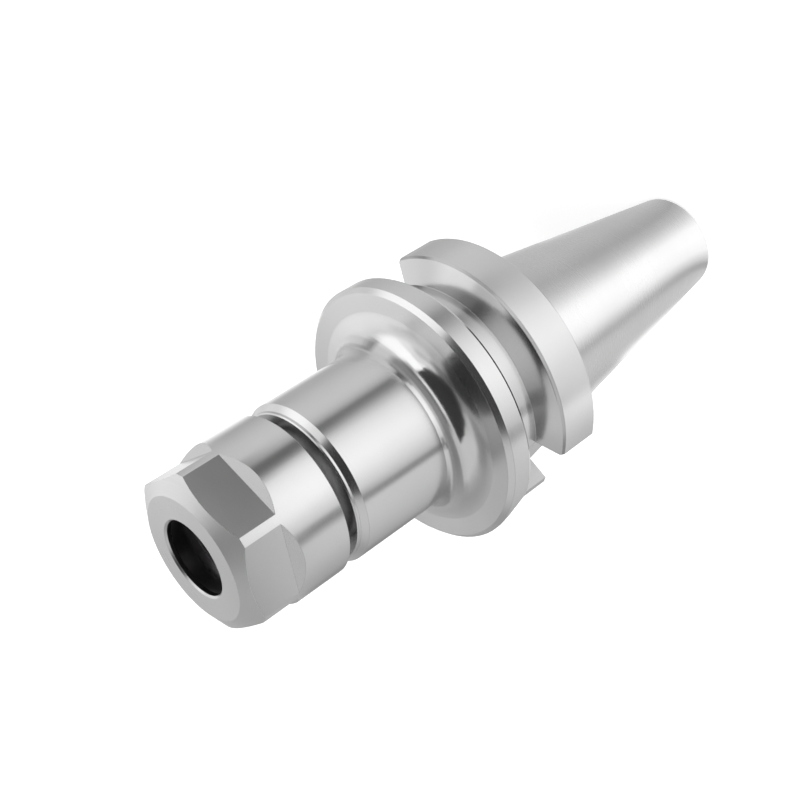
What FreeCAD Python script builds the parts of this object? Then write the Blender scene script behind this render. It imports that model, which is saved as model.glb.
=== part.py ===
"""Collet chuck holder with a steep machine taper and a hexagon clamping nut.

The holder is one turned, milled and ground piece: a 7/24 taper shank, a gripper flange with a V-groove
and two drive slots, and a cylindrical nose with the 8 degree collet socket. The nut is screwed on the
nose. Millimetres, +Z along the axis from the small end of the taper to the nut, origin in the middle of
the taper's end face.
"""
import FreeCAD, Part
import math
import os
from FreeCAD import Vector

# Taper shank
gauge_diameter = 31.75
taper_length = 48.4
taper_ratio = 7.0 / 24.0
shank_end_chamfer = 1.0

# Drawbar end of the shank, each bore stepped in from the one before
pilot_wall = 2.567
pilot_depth = 7.0
pilot_mouth_chamfer = 0.75
drawbar_thread_step = 1.15
drawbar_hole_depth = 34.0
drill_point_angle = 118.0
through_hole_step = 0.85

# Gripper flange
flange_gap = 2.0
flange_diameter = 46.0
flange_thickness = 20.0
flange_rear_chamfer = 0.5
flange_front_chamfer = 0.8
relief_depth = 0.6

# V-groove
groove_centre = 13.6
groove_width = 8.0
groove_depth = 4.0
groove_wall_angle = 30.0
groove_edge_break = 0.3

# Drive slots
slot_width = 18.4
slot_floor = 16.3
slot_length = 18.8
slot_edge_chamfer = 0.4

# Nose
nose_diameter = 28.0
nose_length = 21.6
nose_fillet = 5.0
nose_end_chamfer = 0.9
collar_length = 0.6
collar_edge_break = 0.2

# Collet socket
socket_mouth_diameter = 16.4
socket_angle = 8.0
socket_depth = 18.5
socket_mouth_chamfer = 0.3
shank_bore_diameter = 10.5
shank_bore_depth = 30.5

# Nose thread around the socket, as a plain cylinder at its pitch diameter
thread_pitch_wall = 2.3
thread_relief_depth = 0.7
thread_relief_width = 3.1
thread_length = 10.4
thread_end_chamfer = 0.9

# Clamping nut
nut_gap = 2.3
nut_diameter = 28.0
nut_back_chamfer = 0.2
nut_across_flats = 25.0
nut_flat_length = 8.5
nut_flat_sides = 6
nut_shoulder_angle = 45.0
nut_front_ring_diameter = 21.4
nut_front_cone_angle = 30.0
nut_clocking = 11.3

# Inside of the nut, stacked up in front of the nose
nut_nose_clearance = 0.6
mouth_diameter = 12.9
mouth_length = 1.0
mouth_edge_break = 0.3
clamp_cone_angle = 30.0
clamp_cone_length = 3.2
ring_groove_depth = 0.8
ring_groove_width = 1.6
ejector_ring_height = 1.0
ejector_ring_width = 1.0
ejector_ring_offset = 0.4
nut_relief_depth = 0.65
nut_relief_width = 2.2
nut_thread_clearance = 0.05
nut_thread_mouth_chamfer = 0.9


def rise(run, angle):
    """Height gained over a run at an angle in degrees."""
    return run * math.tan(math.radians(angle))


# Radii that several cuts share, worked out from the sizes above
shank_end_radius = gauge_diameter / 2 - taper_length * taper_ratio / 2
thread_radius = socket_mouth_diameter / 2 + thread_pitch_wall
nut_thread_radius = thread_radius + nut_thread_clearance
clamp_cone_radius = mouth_diameter / 2 + rise(clamp_cone_length, clamp_cone_angle)
ring_groove_radius = clamp_cone_radius + ring_groove_depth
ejector_ring_radius = ring_groove_radius - ejector_ring_height

# Heights along the axis, worked out from the sizes above
flange_rear = taper_length + flange_gap
flange_front = flange_rear + flange_thickness
groove_middle = taper_length + groove_centre
collar_start = flange_front + nose_length + nose_end_chamfer
collar_end = collar_start + collar_length
thread_start = collar_end + thread_relief_width
nose_front = thread_start + thread_length
nut_back = collar_end + nut_gap
ejector_ring_back = nose_front + nut_nose_clearance
ring_groove_back = ejector_ring_back + ejector_ring_width
clamp_cone_back = ring_groove_back + ring_groove_width
nut_front = clamp_cone_back + clamp_cone_length + mouth_length


def corner(points, index, radius):
    """Start, middle and end of the arc that rounds one corner of a closed outline."""
    here = points[index]
    before = (points[index - 1] - here).normalize()
    after = (points[(index + 1) % len(points)] - here).normalize()
    half = before.getAngle(after) / 2
    centre = here + (before + after).normalize() * (radius / math.sin(half))
    reach = radius / math.tan(half)
    inward = (here - centre).normalize()
    return here + before * reach, centre + inward * radius, here + after * reach


def turned(outline):
    """Solid of revolution about Z. Each outline point is (radius, height) or (radius, height, fillet)."""
    points = [Vector(point[0], 0, point[1]) for point in outline]
    edges = []
    first = None
    last = None
    for index, point in enumerate(outline):
        if len(point) == 3:
            start, middle, end = corner(points, index, point[2])
        else:
            start = middle = end = points[index]
        if last is None:
            first = start
        else:
            edges.append(Part.makeLine(last, start))
        if len(point) == 3:
            edges.append(Part.Arc(start, middle, end).toShape())
        last = end
    edges.append(Part.makeLine(last, first))
    face = Part.Face(Part.Wire(edges))
    return face.revolve(Vector(0, 0, 0), Vector(0, 0, 1), 360)


def holder_outline():
    """Outside of the holder from the end of the taper to the nose, then the bores back to the end."""
    gauge_radius = gauge_diameter / 2
    taper_slope = taper_ratio / 2
    flange_radius = flange_diameter / 2
    root_radius = flange_radius - groove_depth
    relief_radius = gauge_radius - relief_depth
    groove_rear = groove_middle - groove_width / 2
    groove_front = groove_middle + groove_width / 2
    wall_rise = rise(groove_depth, groove_wall_angle)
    break_rise = rise(groove_edge_break, groove_wall_angle)
    nose_radius = nose_diameter / 2
    collar_radius = nose_radius - nose_end_chamfer
    thread_end_radius = thread_radius - thread_end_chamfer
    relief_root = thread_radius - thread_relief_depth
    outside = [
        (shank_end_radius + shank_end_chamfer * (taper_slope - 1), 0),
        (shank_end_radius + shank_end_chamfer * taper_slope, shank_end_chamfer),
        (gauge_radius, taper_length),
        (relief_radius, taper_length + relief_depth),
        (relief_radius, flange_rear),
        (flange_radius - flange_rear_chamfer, flange_rear),
        (flange_radius, flange_rear + flange_rear_chamfer),
        (flange_radius, groove_rear - groove_edge_break),
        (flange_radius - groove_edge_break, groove_rear + break_rise),
        (root_radius, groove_rear + wall_rise),
        (root_radius, groove_front - wall_rise),
        (flange_radius - groove_edge_break, groove_front - break_rise),
        (flange_radius, groove_front + groove_edge_break),
        (flange_radius, flange_front - flange_front_chamfer),
        (flange_radius - flange_front_chamfer, flange_front),
        (nose_radius, flange_front, nose_fillet),
        (nose_radius, collar_start - nose_end_chamfer),
        (collar_radius, collar_start),
        (collar_radius, collar_end - collar_edge_break),
        (collar_radius - collar_edge_break, collar_end),
        (relief_root, collar_end),
        (relief_root, thread_start - thread_relief_depth),
        (thread_radius, thread_start),
        (thread_radius, nose_front - thread_end_chamfer),
        (thread_end_radius, nose_front),
    ]
    mouth_radius = socket_mouth_diameter / 2
    mouth_height = nose_front - socket_mouth_chamfer
    socket_end = nose_front - socket_depth
    socket_end_radius = mouth_radius - rise(mouth_height - socket_end, socket_angle)
    bore_radius = shank_bore_diameter / 2
    bore_end = socket_end - shank_bore_depth
    pilot_radius = shank_end_radius - pilot_wall
    tap_radius = pilot_radius - drawbar_thread_step
    hole_radius = tap_radius - through_hole_step
    point_slope = 90 - drill_point_angle / 2
    inside = [
        (mouth_radius + socket_mouth_chamfer, nose_front),
        (mouth_radius, mouth_height),
        (socket_end_radius, socket_end),
        (bore_radius, socket_end),
        (bore_radius, bore_end),
        (hole_radius, bore_end - rise(bore_radius - hole_radius, point_slope)),
        (hole_radius, drawbar_hole_depth + rise(tap_radius - hole_radius, point_slope)),
        (tap_radius, drawbar_hole_depth),
        (tap_radius, pilot_depth + drawbar_thread_step),
        (pilot_radius, pilot_depth),
        (pilot_radius, pilot_mouth_chamfer),
        (pilot_radius + pilot_mouth_chamfer, 0),
    ]
    return outside + inside


def slot_arch():
    """Milled shape of a drive slot on the +X side: straight walls from the rear and a full round end."""
    half = slot_width / 2
    top = flange_rear + slot_length
    spring = top - half
    walls = [
        Vector(slot_floor, -half, spring),
        Vector(slot_floor, -half, taper_length),
        Vector(slot_floor, half, taper_length),
        Vector(slot_floor, half, spring),
    ]
    edges = [Part.makeLine(start, end) for start, end in zip(walls, walls[1:])]
    edges.append(Part.Arc(walls[3], Vector(slot_floor, 0, top), walls[0]).toShape())
    face = Part.Face(Part.Wire(edges))
    return face.extrude(Vector(flange_diameter, 0, 0))


def slot_flare():
    """Flared prism on the +X side that breaks the two long edges of a drive slot in the rear rim."""
    half = slot_width / 2
    rim = flange_diameter / 2
    flare_end = half + slot_edge_chamfer
    flare_start = math.sqrt(rim ** 2 - flare_end ** 2) - slot_edge_chamfer
    reach = rim - flare_start
    points = [
        Vector(flare_start, -half, taper_length),
        Vector(rim, -half - reach, taper_length),
        Vector(rim, half + reach, taper_length),
        Vector(flare_start, half, taper_length),
    ]
    face = Part.Face(Part.makePolygon(points + points[:1]))
    return face.extrude(Vector(0, 0, groove_middle - taper_length))


def drive_slot(side):
    """Cutter for the slot that takes a drive key, on the +X or the -X side of the flange."""
    slot = slot_arch().fuse(slot_flare())
    if side < 0:
        slot.rotate(Vector(0, 0, 0), Vector(0, 0, 1), 180)
    return slot


def make_holder():
    body = turned(holder_outline())
    for side in (1, -1):
        body = body.cut(drive_slot(side))
    return body


def nut_outline():
    """Turned blank of the nut: outside from the back to the front, then the inside to the back."""
    radius = nut_diameter / 2
    ring_radius = nut_front_ring_diameter / 2
    outside = [
        (radius - nut_back_chamfer, nut_back),
        (radius, nut_back + nut_back_chamfer),
        (radius, nut_front - rise(radius - ring_radius, nut_front_cone_angle)),
        (ring_radius, nut_front),
    ]
    mouth_radius = mouth_diameter / 2
    relief_radius = nut_thread_radius + nut_relief_depth
    relief_back = ejector_ring_back - nut_relief_width
    inside = [
        (mouth_radius + mouth_edge_break, nut_front),
        (mouth_radius, nut_front - mouth_edge_break),
        (mouth_radius, nut_front - mouth_length),
        (clamp_cone_radius, clamp_cone_back),
        (ring_groove_radius, clamp_cone_back),
        (ring_groove_radius, ring_groove_back),
        (ejector_ring_radius, ring_groove_back),
        (ejector_ring_radius, ejector_ring_back),
        (relief_radius, ejector_ring_back),
        (relief_radius, relief_back + nut_relief_depth),
        (nut_thread_radius, relief_back),
        (nut_thread_radius, nut_back + nut_thread_mouth_chamfer),
        (nut_thread_radius + nut_thread_mouth_chamfer, nut_back),
    ]
    return outside + inside


def flat_cutter():
    """Prism that mills one wrench flat with its sloping shoulder, on the -Y side."""
    flat = nut_across_flats / 2
    outer = nut_diameter
    shoulder = nut_front - nut_flat_length
    slope = rise(outer - flat, nut_shoulder_angle)
    above = nut_front + nut_flat_length
    points = [
        Vector(-outer, -flat, above),
        Vector(-outer, -flat, shoulder),
        Vector(-outer, -outer, shoulder - slope),
        Vector(-outer, -outer, above),
    ]
    face = Part.Face(Part.makePolygon(points + points[:1]))
    return face.extrude(Vector(2 * outer, 0, 0))


def ejector_cut():
    """Crescent milled off one side of the ring that pulls the collet out, so that it is eccentric."""
    place = Vector(ejector_ring_offset, 0, ejector_ring_back)
    return Part.makeCylinder(ejector_ring_radius, ejector_ring_width, place)


def make_nut():
    nut = turned(nut_outline())
    cutter = flat_cutter()
    for index in range(nut_flat_sides):
        side = cutter.copy()
        side.rotate(Vector(0, 0, 0), Vector(0, 0, 1), index * 360 / nut_flat_sides)
        nut = nut.cut(side)
    nut = nut.cut(ejector_cut())
    nut.rotate(Vector(0, 0, 0), Vector(0, 0, 1), nut_clocking)
    return nut


os.makedirs("parts", exist_ok=True)
for name, solid in (("holder_body", make_holder()), ("clamping_nut", make_nut())):
    solid.exportStep("parts/" + name + ".step")
    box = solid.BoundBox
    print(name, "valid", solid.isValid(), "solids", len(solid.Solids), "volume", round(solid.Volume, 1),
          "z", round(box.ZMin, 3), round(box.ZMax, 3))
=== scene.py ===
"""Studio scene of the collet chuck holder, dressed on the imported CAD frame.

The holder stands on the small end of its taper. The camera looks down on it and is rolled, so
that the part lies across the picture. The metal takes its look from a few graded cards, as in a
product studio: a bright sheet on the floor in front, dark strips beside it, and a dome with a dark
opening and a soft box.
"""
import math
import bpy
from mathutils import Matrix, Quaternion, Vector

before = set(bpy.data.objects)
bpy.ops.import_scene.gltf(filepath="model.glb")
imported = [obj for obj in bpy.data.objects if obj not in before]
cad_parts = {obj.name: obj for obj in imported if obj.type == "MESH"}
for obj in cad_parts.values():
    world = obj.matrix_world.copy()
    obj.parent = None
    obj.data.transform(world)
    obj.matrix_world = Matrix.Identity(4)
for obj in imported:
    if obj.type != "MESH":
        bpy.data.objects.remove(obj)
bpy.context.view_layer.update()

MM = 0.001
MICROMETRE = 0.000001

# Camera: it circles the axis, looks down at a point on it, then rolls and turns to frame the part
CAMERA_TARGET = Vector((0, 0, 60 * MM))
CAMERA_DISTANCE = 236.67 * MM
CAMERA_AZIMUTH = -10.7
CAMERA_ELEVATION = 33.588
CAMERA_ROLL = 236.41
CAMERA_YAW = -2.054
CAMERA_PITCH = -0.482
CAMERA_LENS = 63.977
CAMERA_SENSOR = 36
CAMERA_CLIP = (0.01, 20)

# Light: how bright the world and the floor are, and the key lamp's place, size and power
WHITE = (1, 1, 1, 1)
WORLD_LIGHT = 0.55
BACKDROP = 1.0
FLOOR_HALF_WIDTH = 3.0
FLOOR_COLOUR = (0.8, 0.8, 0.8, 1)
FLOOR_GLOW = 0.55
LAMP_AZIMUTH = -40
LAMP_ELEVATION = 60
LAMP_DISTANCE = 1.2
LAMP_SIZE = 0.8
LAMP_POWER = 9

# Cards: they lie just above the floor, or are belts of a dome round the part
FLOOR_CARD_HEIGHT = 0.4 * MM
DOME_RADIUS = 700 * MM
DOME_HEIGHT = 70 * MM
DOME_ROWS = 7

# Steel: the noise that marks it and the part of its range that is used, how far it changes the
# colour, and how far edges are rounded
MARKS_ROUND = 5.0
MARKS_DETAIL = 3.0
CLOUD_SCALE = 90.0
CLOUD_DETAIL = 4.0
CLOUD_RANGE = (0.35, 0.65)
WEAR_RANGE = (0.3, 0.7)
COLOUR_SPREAD = 0.02
EDGE_RADIUS = 0.12 * MM
QUARTER_TURN = 0.25
GREY = (0.58, 0.58, 0.58)
# Darker grey for the socket, the bores and the drawbar thread: painted shade in these hollows
PAINTED_SHADE_GREY = (0.3, 0.29, 0.3)

# Sockets of the Mix node when it mixes colours, which share their names with others
MIX_FACTOR, MIX_FIRST, MIX_SECOND = 0, 6, 7
MIX_RESULT = 2

# Heights and radii of the holder that part its finishes, from the CAD
TAPER_TOP = 48.4 * MM
FLANGE_FRONT = 70.4 * MM
FLANGE_RADIUS = 23.0 * MM
GROOVE_REAR = 57.7 * MM
GROOVE_FRONT = 66.3 * MM
NOSE_START = 75.4 * MM
NOSE_END = 92.0 * MM
COLLAR_END = 93.5 * MM
THREAD_START = 96.6 * MM
SOCKET_END = 88.5 * MM
SLOT_FLOOR = 16.3 * MM
SLOT_HALF_WIDTH = 9.2 * MM
DRAWBAR_THREAD_START = 8.2 * MM
DRAWBAR_THREAD_END = 34.0 * MM
HOLE_RADIUS = 7.0 * MM
THROUGH_HOLE_RADIUS = 5.6 * MM
NEAR = 0.1 * MM

# The same for the nut
NUT_FRONT = 114.4 * MM
NUT_FLAT_BACK = 103.9 * MM
NUT_FLAT_RADIUS = 13.95 * MM
NUT_MOUTH_LENGTH = 1.1 * MM
NUT_RING_RADIUS = 9.2 * MM
NUT_RING_FRONT = 113.2 * MM
NUT_LEDGE_RADIUS = 11.3 * MM

# How far a facet points one way: away from the axis, along Z or X, or sideways. It tells inner and
# outer walls, flat ends, and turned and milled faces apart
UPRIGHT = 0.02
SLIGHTLY = 0.1
PARTLY = 0.3
MOSTLY = 0.5
STEEP = 0.9
NEARLY_FLAT = 0.999
NEARLY_ALONG_X = 0.9999
CONE_RANGE = (0.8, 0.9)
SHOULDER_RANGE = (0.7, 0.75)


class Graph:
    """Adds shader nodes to a tree. An input is a plain value or another node's output.

    add returns one output of the new node, by its name or number, or the node itself for None.
    """

    def __init__(self, tree):
        self.tree = tree
        tree.nodes.clear()

    def add(self, kind, inputs=None, output=0, **settings):
        node = self.tree.nodes.new(kind)
        for name, value in settings.items():
            setattr(node, name, value)
        for key, value in (inputs or {}).items():
            if isinstance(value, bpy.types.NodeSocket):
                self.tree.links.new(value, node.inputs[key])
            else:
                node.inputs[key].default_value = value
        if output is None or not node.outputs:
            return node
        return node.outputs[output]

    def math(self, operation, first, second=0.0):
        return self.add("ShaderNodeMath", {0: first, 1: second}, operation=operation)

    def remap(self, value, low, high, new_low, new_high):
        inputs = {"Value": value, "From Min": low, "From Max": high}
        inputs |= {"To Min": new_low, "To Max": new_high}
        return self.add("ShaderNodeMapRange", inputs)


def direction(azimuth, elevation):
    """Direction away from the part, from an azimuth and an elevation in degrees."""
    turn = math.radians(azimuth)
    rise = math.radians(elevation)
    level = math.cos(rise)
    return Vector((math.sin(turn) * level, -math.cos(turn) * level, math.sin(rise)))


def aim_camera():
    """Puts the camera at the photograph's angle."""
    data = bpy.data.cameras.new("camera")
    data.sensor_width = CAMERA_SENSOR
    data.lens = CAMERA_LENS
    data.clip_start, data.clip_end = CAMERA_CLIP
    camera = bpy.data.objects.new("camera", data)
    back = direction(CAMERA_AZIMUTH, CAMERA_ELEVATION)
    camera.location = CAMERA_TARGET + back * CAMERA_DISTANCE
    camera.rotation_mode = "QUATERNION"
    roll = Quaternion((0, 0, 1), math.radians(CAMERA_ROLL))
    yaw = Quaternion((0, 1, 0), math.radians(-CAMERA_YAW))
    pitch = Quaternion((1, 0, 0), math.radians(CAMERA_PITCH))
    camera.rotation_quaternion = back.to_track_quat("Z", "Y") @ roll @ yaw @ pitch
    bpy.context.scene.collection.objects.link(camera)
    bpy.context.scene.camera = camera


def seen_background(graph):
    """1 for the rays that should see the plain background: camera, glossy and transmission rays."""
    rays = graph.add("ShaderNodeLightPath", output=None).outputs
    mirror = graph.math("MAXIMUM", rays["Is Glossy Ray"], rays["Is Transmission Ray"])
    return graph.math("MAXIMUM", rays["Is Camera Ray"], mirror)


def light_world():
    """Soft grey light from all round, with a white background wherever it is seen."""
    world = bpy.data.worlds.new("studio")
    world.use_nodes = True
    graph = Graph(world.node_tree)
    light = graph.add("ShaderNodeBackground", {"Color": WHITE, "Strength": WORLD_LIGHT})
    backdrop = graph.add("ShaderNodeBackground", {"Color": WHITE, "Strength": BACKDROP})
    mixed = graph.add("ShaderNodeMixShader", {0: seen_background(graph), 1: light, 2: backdrop})
    graph.add("ShaderNodeOutputWorld", {"Surface": mixed})
    bpy.context.scene.world = world


def mesh_object(name, vertices, faces):
    """Object with the given mesh, in the scene."""
    mesh = bpy.data.meshes.new(name)
    mesh.from_pydata(vertices, [], faces)
    thing = bpy.data.objects.new(name, mesh)
    bpy.context.scene.collection.objects.link(thing)
    return thing


def lay_floor():
    """Pale floor that reads as white and keeps the part's shadow."""
    half = FLOOR_HALF_WIDTH
    corners = [(-half, -half, 0), (half, -half, 0), (half, half, 0), (-half, half, 0)]
    floor = mesh_object("floor", corners, [(0, 1, 2, 3)])
    material = bpy.data.materials.new("floor_white")
    material.use_nodes = True
    graph = Graph(material.node_tree)
    paper = graph.add("ShaderNodeBsdfDiffuse", {"Color": FLOOR_COLOUR})
    strength = graph.math("MULTIPLY", seen_background(graph), FLOOR_GLOW)
    glow = graph.add("ShaderNodeEmission", {"Color": WHITE, "Strength": strength})
    both = graph.add("ShaderNodeAddShader", {0: paper, 1: glow})
    graph.add("ShaderNodeOutputMaterial", {"Surface": both})
    floor.data.materials.append(material)


def level_at(stops, angle):
    """Brightness of a graded card at an angle, between its stops of (angle, brightness)."""
    for (start, low), (end, high) in zip(stops, stops[1:]):
        if angle <= end:
            return low + (high - low) * (angle - start) / (end - start)
    return stops[-1][1]


def graded_card(name, stops, rims):
    """Card bent round the axis that only shiny surfaces see.

    stops holds (azimuth, brightness), between which the card is graded. rims holds the (radius,
    height) of the card's edges and of the rows between them. Azimuth 0 is the camera's side, and
    it grows to the right of someone who looks from there.
    """
    first = stops[0][0]
    count = int(round(stops[-1][0] - first)) + 1
    vertices = []
    for radius, height in rims:
        for index in range(count):
            turn = math.radians(CAMERA_AZIMUTH + first + index)
            vertices.append((radius * math.sin(turn), -radius * math.cos(turn), height))
    faces = []
    for row in range(len(rims) - 1):
        for column in range(count - 1):
            corner = row * count + column
            faces.append((corner, corner + 1, corner + count + 1, corner + count))
    card = mesh_object(name, vertices, faces)
    level = card.data.attributes.new("level", "FLOAT", "POINT")
    for index, item in enumerate(level.data):
        item.value = level_at(stops, first + index % count)
    material = bpy.data.materials.new(name)
    material.use_nodes = True
    graph = Graph(material.node_tree)
    brightness = graph.add("ShaderNodeAttribute", output="Fac", attribute_name="level")
    glow = graph.add("ShaderNodeEmission", {"Color": WHITE, "Strength": brightness})
    graph.add("ShaderNodeOutputMaterial", {"Surface": glow})
    card.data.materials.append(material)
    card.visible_camera = False
    card.visible_diffuse = False
    card.visible_transmission = False
    card.visible_shadow = False


def sky_card(name, low, high, stops):
    """Graded card that is a belt of a dome round the part, between two elevations in degrees."""
    rims = []
    for row in range(DOME_ROWS):
        elevation = math.radians(low + (high - low) * row / (DOME_ROWS - 1))
        height = DOME_HEIGHT + DOME_RADIUS * math.sin(elevation)
        rims.append((DOME_RADIUS * math.cos(elevation), height))
    graded_card(name, stops, rims)


def floor_card(name, inner, outer, stops):
    """Graded card that lies on the floor, between two radii in millimetres."""
    graded_card(name, stops, [(inner * MM, FLOOR_CARD_HEIGHT), (outer * MM, FLOOR_CARD_HEIGHT)])


def place_cards():
    """The studio's cards: sheets on the floor, and a dome with a dark opening and a soft box."""
    floor_card("floor_inner", 8, 36, [
        (-180, 1.30), (-136, 1.65), (-128, 1.60), (-120, 1.30), (-112, 1.00), (-104, 0.85),
        (-80, 0.90), (-66, 0.86), (-60, 0.66), (-54, 0.66), (-48, 1.0), (-34, 1.6), (-16, 1.75),
        (0, 1.72), (14, 1.2), (26, 0.86), (44, 0.62), (56, 0.68), (76, 0.77), (112, 0.76),
        (128, 0.90), (144, 1.30), (160, 1.45), (180, 1.30),
    ])
    floor_card("floor_near", 36, 70, [
        (-180, 0.80), (-136, 1.05), (-124, 0.85), (-116, 0.66), (-100, 0.80), (-80, 0.90),
        (-62, 0.92), (-58, 0.58), (-53, 0.58), (-47, 1.0), (-34, 1.6), (-16, 1.78), (0, 1.72),
        (14, 1.2), (26, 0.86), (44, 0.64), (56, 0.72), (76, 0.77), (110, 0.75), (128, 0.74),
        (140, 0.90), (180, 0.80),
    ])
    floor_card("floor_middle", 70, 102, [
        (-180, 0.70), (-104, 0.68), (-88, 0.86), (-76, 1.15), (-64, 1.50), (-54, 1.12), (-32, 1.17),
        (-8, 1.50), (10, 1.36), (24, 1.05), (40, 0.90), (88, 0.90), (104, 0.72), (128, 0.58),
        (144, 0.70), (180, 0.70),
    ])
    floor_card("floor_nose", 102, 190, [
        (-180, 0.55), (-156, 0.32), (-148, 0.34), (-136, 0.52), (-120, 0.68), (-104, 0.80),
        (-88, 0.89), (-62, 0.97), (-58, 0.35), (-53, 0.35), (-49, 0.85), (-40, 1.07), (-24, 1.38),
        (-8, 1.53), (2, 1.50), (16, 1.36), (26, 1.15), (36, 0.72), (44, 0.34), (51, 0.24),
        (57, 0.68), (66, 0.90), (76, 0.92), (96, 0.85), (120, 0.66), (136, 0.62), (144, 0.84),
        (152, 1.10), (160, 1.20), (180, 1.10),
    ])
    floor_card("floor_barrel", 190, 237, [
        (-180, 0.55), (-156, 0.36), (-148, 0.34), (-136, 0.50), (-120, 0.62), (-104, 0.75),
        (-88, 0.90), (-64, 1.00), (-57, 0.75), (-52, 0.30), (-46, 0.30), (-42, 1.00), (-32, 1.22),
        (-16, 1.66), (0, 1.66), (16, 1.55), (24, 1.40), (32, 1.12), (38, 0.35), (44, 0.15),
        (51, 0.15), (57, 0.66), (66, 0.92), (80, 0.94), (96, 0.87), (112, 0.72), (128, 0.58),
        (136, 0.80), (144, 1.10), (152, 1.35), (180, 1.30),
    ])
    floor_card("floor_flats", 237, 290, [
        (-180, 0.55), (-120, 0.68), (-104, 0.78), (-62, 0.78), (-59, 0.25), (-54, 0.25),
        (-50, 0.70), (-40, 1.02), (-24, 1.34), (2, 1.50), (16, 1.34), (26, 1.10), (30, 0.22),
        (66, 0.22), (72, 0.85), (96, 0.85), (120, 0.74), (146, 0.90), (160, 1.15), (180, 1.1),
    ])
    floor_card("floor_edge", 290, 690, [
        (-180, 0.55), (-120, 0.45), (-80, 0.40), (-40, 0.45), (-20, 0.80), (20, 0.80), (40, 0.45),
        (66, 0.50), (80, 0.90), (98, 0.90), (107, 0.45), (114, 0.45), (128, 0.65), (150, 0.80),
        (180, 0.70),
    ])
    sky_card("sky_horizon", -5.7, 11, [
        (-180, 0.80), (-165, 0.60), (-130, 0.48), (-110, 0.42), (-80, 0.34), (-40, 0.32),
        (-20, 0.38), (20, 0.38), (40, 0.34), (66, 0.40), (78, 0.95), (98, 0.95), (107, 0.42),
        (112, 0.50), (126, 0.90), (155, 1.05), (180, 0.80),
    ])
    sky_card("sky_strip", 11, 19, [
        (-180, 0.80), (-165, 0.60), (-142, 0.48), (-124, 0.55), (-112, 0.80), (-50, 0.80),
        (-30, 0.22), (44, 0.22), (60, 0.40), (72, 0.95), (98, 1.15), (105, 0.60), (113, 0.70),
        (124, 1.10), (150, 1.20), (165, 1.0), (180, 0.80),
    ])
    sky_card("sky_line", 19, 26, [
        (-180, 0.80), (-165, 0.60), (-142, 0.48), (-124, 0.62), (-112, 0.85), (-40, 0.85),
        (-28, 1.0), (-18, 1.35), (22, 1.45), (38, 1.0), (44, 0.60), (54, 0.75), (66, 1.6),
        (100, 1.6), (112, 1.1), (124, 1.1), (140, 1.28), (160, 1.20), (180, 0.80),
    ])
    sky_card("sky_middle", 26, 48, [
        (-180, 0.80), (-165, 0.58), (-142, 0.48), (-128, 0.56), (-116, 0.72), (-106, 0.86),
        (-66, 0.90), (-61, 0.06), (38, 0.06), (43, 1.7), (104, 1.65), (112, 1.35), (120, 1.05),
        (128, 1.15), (138, 1.25), (165, 1.35), (180, 0.80),
    ])
    sky_card("sky_upper", 48, 60, [
        (-180, 0.12), (-165, 0.33), (-130, 0.36), (-122, 0.46), (-113, 0.80), (-106, 0.92),
        (-66, 0.85), (-61, 0.06), (43, 0.06), (48, 1.6), (57, 1.1), (74, 1.2), (108, 1.35),
        (118, 1.10), (132, 0.97), (147, 0.90), (162, 0.60), (170, 0.12), (180, 0.12),
    ])
    sky_card("sky_high", 60, 75, [
        (-180, 0.04), (-168, 0.06), (-160, 0.33), (-124, 0.35), (-116, 0.52), (-108, 0.82),
        (-74, 0.80), (-63, 0.05), (42, 0.05), (50, 1.1), (64, 1.2), (78, 0.85), (96, 0.72),
        (106, 1.0), (126, 1.05), (146, 0.95), (160, 0.50), (168, 0.06), (180, 0.04),
    ])
    sky_card("sky_top", 75, 90, [
        (-180, 0.35), (-136, 0.50), (-115, 0.50), (-88, 0.35), (-72, 0.20), (-55, 0.04), (40, 0.04),
        (60, 0.30), (100, 0.30), (118, 0.10), (150, 0.10), (166, 0.25), (180, 0.35),
    ])


def hang_lamp():
    """Square soft lamp that points at the middle of the part. Shiny surfaces don't see it."""
    data = bpy.data.lights.new("key", "AREA")
    data.size = LAMP_SIZE
    data.energy = LAMP_POWER
    lamp = bpy.data.objects.new("key", data)
    away = direction(LAMP_AZIMUTH, LAMP_ELEVATION)
    lamp.location = CAMERA_TARGET + away * LAMP_DISTANCE
    lamp.rotation_mode = "QUATERNION"
    lamp.rotation_quaternion = away.to_track_quat("Z", "Y")
    lamp.visible_glossy = False
    bpy.context.scene.collection.objects.link(lamp)


def cylinder_coordinates(graph):
    """Radius and height in millimetres, and the turn round the axis in turns."""
    place = graph.add("ShaderNodeTexCoord", output="Object")
    split = graph.add("ShaderNodeSeparateXYZ", {0: place}, output=None)
    x, y, z = split.outputs
    squares = graph.math("ADD", graph.math("MULTIPLY", x, x), graph.math("MULTIPLY", y, y))
    radius = graph.math("SQRT", squares)
    turn = graph.math("DIVIDE", graph.math("ARCTAN2", y, x), 2 * math.pi)
    return graph.math("MULTIPLY", radius, 1 / MM), graph.math("MULTIPLY", z, 1 / MM), turn


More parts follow.
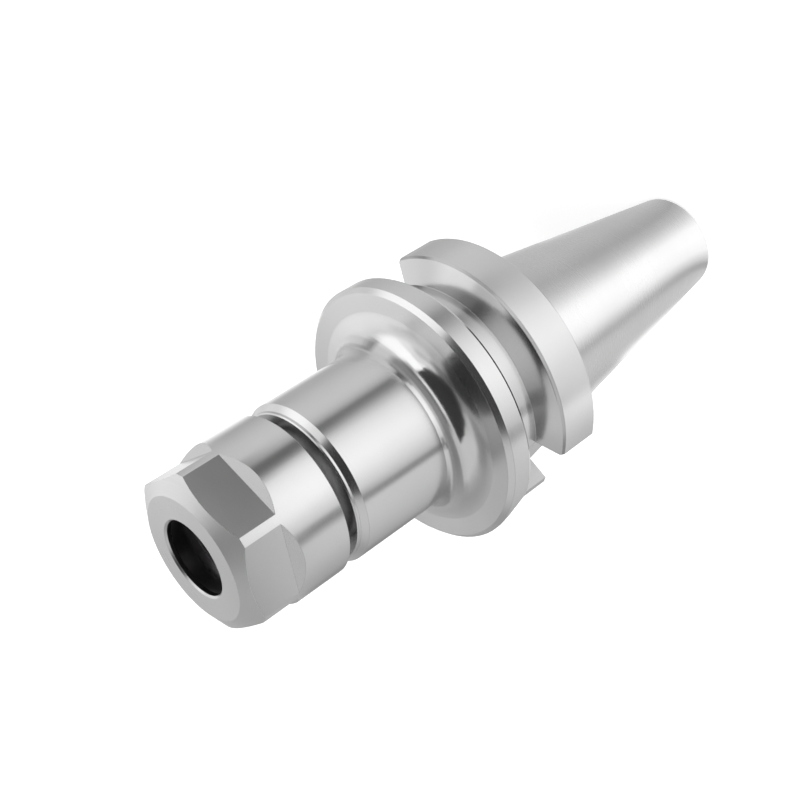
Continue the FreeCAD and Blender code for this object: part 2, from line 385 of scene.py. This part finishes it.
def finish_steel(name, colour, roughness, anisotropy=0.0, marks=6.0, depth=0.5, spread=0.12,
                 thread=0.0, fade=None):
    """Bright steel with fine marks round the axis.

    marks is the number of marks in a millimetre, depth their height in micrometres, spread how far
    the roughness varies with them, and thread the pitch in millimetres of a thread cut in the
    surface, or 0. fade is (inner radius, outer radius, roughness): where the surface turns rougher,
    in millimetres from the axis, and how rough it gets.
    """
    material = bpy.data.materials.new(name)
    material.use_nodes = True
    graph = Graph(material.node_tree)
    radius, height, turn = cylinder_coordinates(graph)
    ring_inputs = {
        0: graph.math("MULTIPLY", radius, marks),
        1: graph.math("MULTIPLY", height, marks),
        2: graph.math("MULTIPLY", turn, MARKS_ROUND),
    }
    ring_noise = {
        "Vector": graph.add("ShaderNodeCombineXYZ", ring_inputs),
        "Scale": 1.0,
        "Detail": MARKS_DETAIL,
    }
    rings = graph.add("ShaderNodeTexNoise", ring_noise)
    cloud_noise = {
        "Vector": graph.add("ShaderNodeTexCoord", output="Object"),
        "Scale": CLOUD_SCALE,
        "Detail": CLOUD_DETAIL,
    }
    clouds = graph.add("ShaderNodeTexNoise", cloud_noise)
    wear = graph.math("MULTIPLY", graph.math("ADD", rings, clouds), 0.5)
    rough = graph.remap(wear, *WEAR_RANGE, roughness * (1 - spread), roughness * (1 + spread))
    if fade:
        start, end, rougher = fade
        factor = graph.remap(radius, start, end, 1.0, rougher / roughness)
        rough = graph.math("MULTIPLY", rough, factor)
    rounded = graph.add("ShaderNodeBevel", {"Radius": EDGE_RADIUS}, samples=4)
    ring_bump = {
        "Height": rings,
        "Strength": 1.0,
        "Distance": depth * MICROMETRE,
        "Normal": rounded,
    }
    bump = graph.add("ShaderNodeBump", ring_bump)
    if thread:
        slope = graph.math("SUBTRACT", graph.math("DIVIDE", height, thread), turn)
        ridge = graph.math("PINGPONG", slope, 0.5)
        ridge_bump = {
            "Height": ridge,
            "Strength": 1.0,
            "Distance": thread * MM,
            "Normal": bump,
        }
        bump = graph.add("ShaderNodeBump", ridge_bump)
    tangent = graph.add("ShaderNodeTangent", direction_type="RADIAL", axis="Z")
    shades = {
        MIX_FACTOR: graph.remap(clouds, *CLOUD_RANGE, 0.0, 1.0),
        MIX_FIRST: tuple((1 - COLOUR_SPREAD) * part for part in colour) + (1,),
        MIX_SECOND: tuple((1 + COLOUR_SPREAD) * part for part in colour) + (1,),
    }
    inputs = {
        "Base Color": graph.add("ShaderNodeMix", shades, MIX_RESULT, data_type="RGBA"),
        "Metallic": 1.0,
        "Roughness": rough,
        "Normal": bump,
        "Tangent": tangent,
        "Anisotropic": anisotropy,
        "Anisotropic Rotation": QUARTER_TURN,
    }
    shader = graph.add("ShaderNodeBsdfPrincipled", inputs)
    graph.add("ShaderNodeOutputMaterial", {"Surface": shader})
    return material


def dress(node, finishes, choose):
    """Gives each facet of a CAD node the finish that choose names for its middle and direction."""
    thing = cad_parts[node]
    thing.data.materials.clear()
    order = list(finishes)
    for name in order:
        thing.data.materials.append(finishes[name])
    for face in thing.data.polygons:
        face.material_index = order.index(choose(face.center, face.normal))


def from_axis(place, normal):
    """Distance of a place from the axis, and how far its direction points away from the axis."""
    radius = math.hypot(place.x, place.y)
    return radius, (place.x * normal.x + place.y * normal.y) / max(radius, 1e-9)


def holder_finish(place, normal):
    """Name of the finish at one place of the holder."""
    radius, outward = from_axis(place, normal)
    if place.z > SOCKET_END and outward < -MOSTLY:
        return "socket"
    if radius < HOLE_RADIUS and outward < -PARTLY:
        in_thread = DRAWBAR_THREAD_START < place.z < DRAWBAR_THREAD_END
        return "drawbar_thread" if in_thread else "bore"
    if radius < THROUGH_HOLE_RADIUS:
        return "bore"
    if place.z < TAPER_TOP:
        return "taper"
    if place.z > THREAD_START - NEAR and normal.z < STEEP:
        return "nose_thread"
    if place.z > COLLAR_END and normal.z < STEEP:
        return "relief"
    if place.z > NOSE_END:
        return "neck"
    if place.z > NOSE_START - NEAR:
        return "nose"
    if place.z > FLANGE_FRONT - NEAR / 10:
        return "fillet" if normal.z < NEARLY_FLAT else "flange_face"
    # Only the slots' floors look straight along X. Their walls look sideways, their round ends back
    in_slot = abs(place.y) < SLOT_HALF_WIDTH + 5 * NEAR and abs(place.x) > SLOT_FLOOR - NEAR
    sideways = abs(place.x * normal.y - place.y * normal.x) / radius
    slot_end = place.z > GROOVE_FRONT and normal.z < -MOSTLY
    if abs(normal.x) > NEARLY_ALONG_X:
        return "slot_floor"
    if in_slot and (sideways > SLIGHTLY or slot_end):
        return "slot_wall"
    if GROOVE_REAR < place.z < GROOVE_FRONT and radius < FLANGE_RADIUS - NEAR:
        return "groove"
    if outward > MOSTLY:
        return "rim"
    return "flange_face"


def nut_finish(place, normal):
    """Name of the finish at one place of the nut."""
    radius, outward = from_axis(place, normal)
    if outward < -SLIGHTLY and place.z > NUT_FRONT - NUT_MOUTH_LENGTH:
        return "nut_front" if normal.z > MOSTLY else "nut_mouth"
    in_ring = radius < NUT_RING_RADIUS and place.z < NUT_RING_FRONT
    on_ledge = radius < NUT_LEDGE_RADIUS and normal.z < -MOSTLY
    if outward < -SLIGHTLY or in_ring or on_ledge:
        return "nut_inside"
    upright = abs(normal.z) < UPRIGHT
    if upright and place.z > NUT_FLAT_BACK and radius < NUT_FLAT_RADIUS:
        return "nut_flat"
    if upright and outward > MOSTLY:
        return "nut_barrel"
    if CONE_RANGE[0] < normal.z < CONE_RANGE[1]:
        return "nut_cone"
    if SHOULDER_RANGE[0] < normal.z < SHOULDER_RANGE[1]:
        return "nut_shoulder"
    return "nut_front"


def dress_all():
    """Dresses the holder and the nut."""
    holder = {
        "taper": finish_steel("taper_ground", GREY, 0.27, 0.3, depth=0.15, spread=0.04),
        "rim": finish_steel("rim_turned", GREY, 0.24, 0.2),
        "groove": finish_steel("groove_turned", (0.53, 0.53, 0.53), 0.15, 0.3),
        "flange_face": finish_steel("flange_face_turned", GREY, 0.2, 1.0, marks=4.0),
        "slot_floor": finish_steel("slot_floor_milled", GREY, 0.35),
        "slot_wall": finish_steel("slot_wall_milled", (0.42, 0.42, 0.42), 0.35),
        "fillet": finish_steel("fillet_turned", GREY, 0.13, 0.5, fade=(15.4, 17.2, 0.23)),
        "nose": finish_steel("nose_ground", GREY, 0.17, 0.2),
        "neck": finish_steel("neck_turned", GREY, 0.22),
        # The relief's darker grey is painted shade in the gap between the nose and the nut
        "relief": finish_steel("relief_turned_painted_shade", (0.34, 0.34, 0.34), 0.3),
        "nose_thread": finish_steel("nose_thread", GREY, 0.25, thread=1.5),
        # The socket, the bores and the drawbar thread take the darker grey: painted shade in the
        # hollows
        "socket": finish_steel("socket_ground_painted_shade", PAINTED_SHADE_GREY, 0.22),
        "bore": finish_steel("bore_drilled_painted_shade", PAINTED_SHADE_GREY, 0.3),
        "drawbar_thread": finish_steel("drawbar_thread", PAINTED_SHADE_GREY, 0.3, thread=1.75),
    }
    dress("holder_body", holder, holder_finish)
    nut = {
        "nut_barrel": finish_steel("nut_barrel_turned", GREY, 0.17, 0.2),
        "nut_flat": finish_steel("nut_flat_milled", GREY, 0.22),
        "nut_front": finish_steel("nut_front_turned", (0.56, 0.56, 0.56), 0.3, 0.3),
        "nut_cone": finish_steel("nut_cone_turned", (0.66, 0.66, 0.66), 0.48, 0.3),
        # The shoulders' darker grey stands in for a darker reflection: painted shade
        "nut_shoulder": finish_steel("nut_shoulder_milled_painted_shade", (0.5, 0.5, 0.5), 0.26, depth=0.1),
        # The mouth's near-black is painted shade on the wall inside the mouth
        "nut_mouth": finish_steel("nut_mouth", (0.1, 0.1, 0.1), 0.35),
        # The inside's grey, darker than the outer steel, is painted shade in the nut's hollow
        "nut_inside": finish_steel("nut_inside", (0.46, 0.45, 0.46), 0.4),
    }
    dress("clamping_nut", nut, nut_finish)


bpy.context.scene.view_settings.view_transform = "Standard"
aim_camera()
light_world()
lay_floor()
place_cards()
hang_lamp()
dress_all()
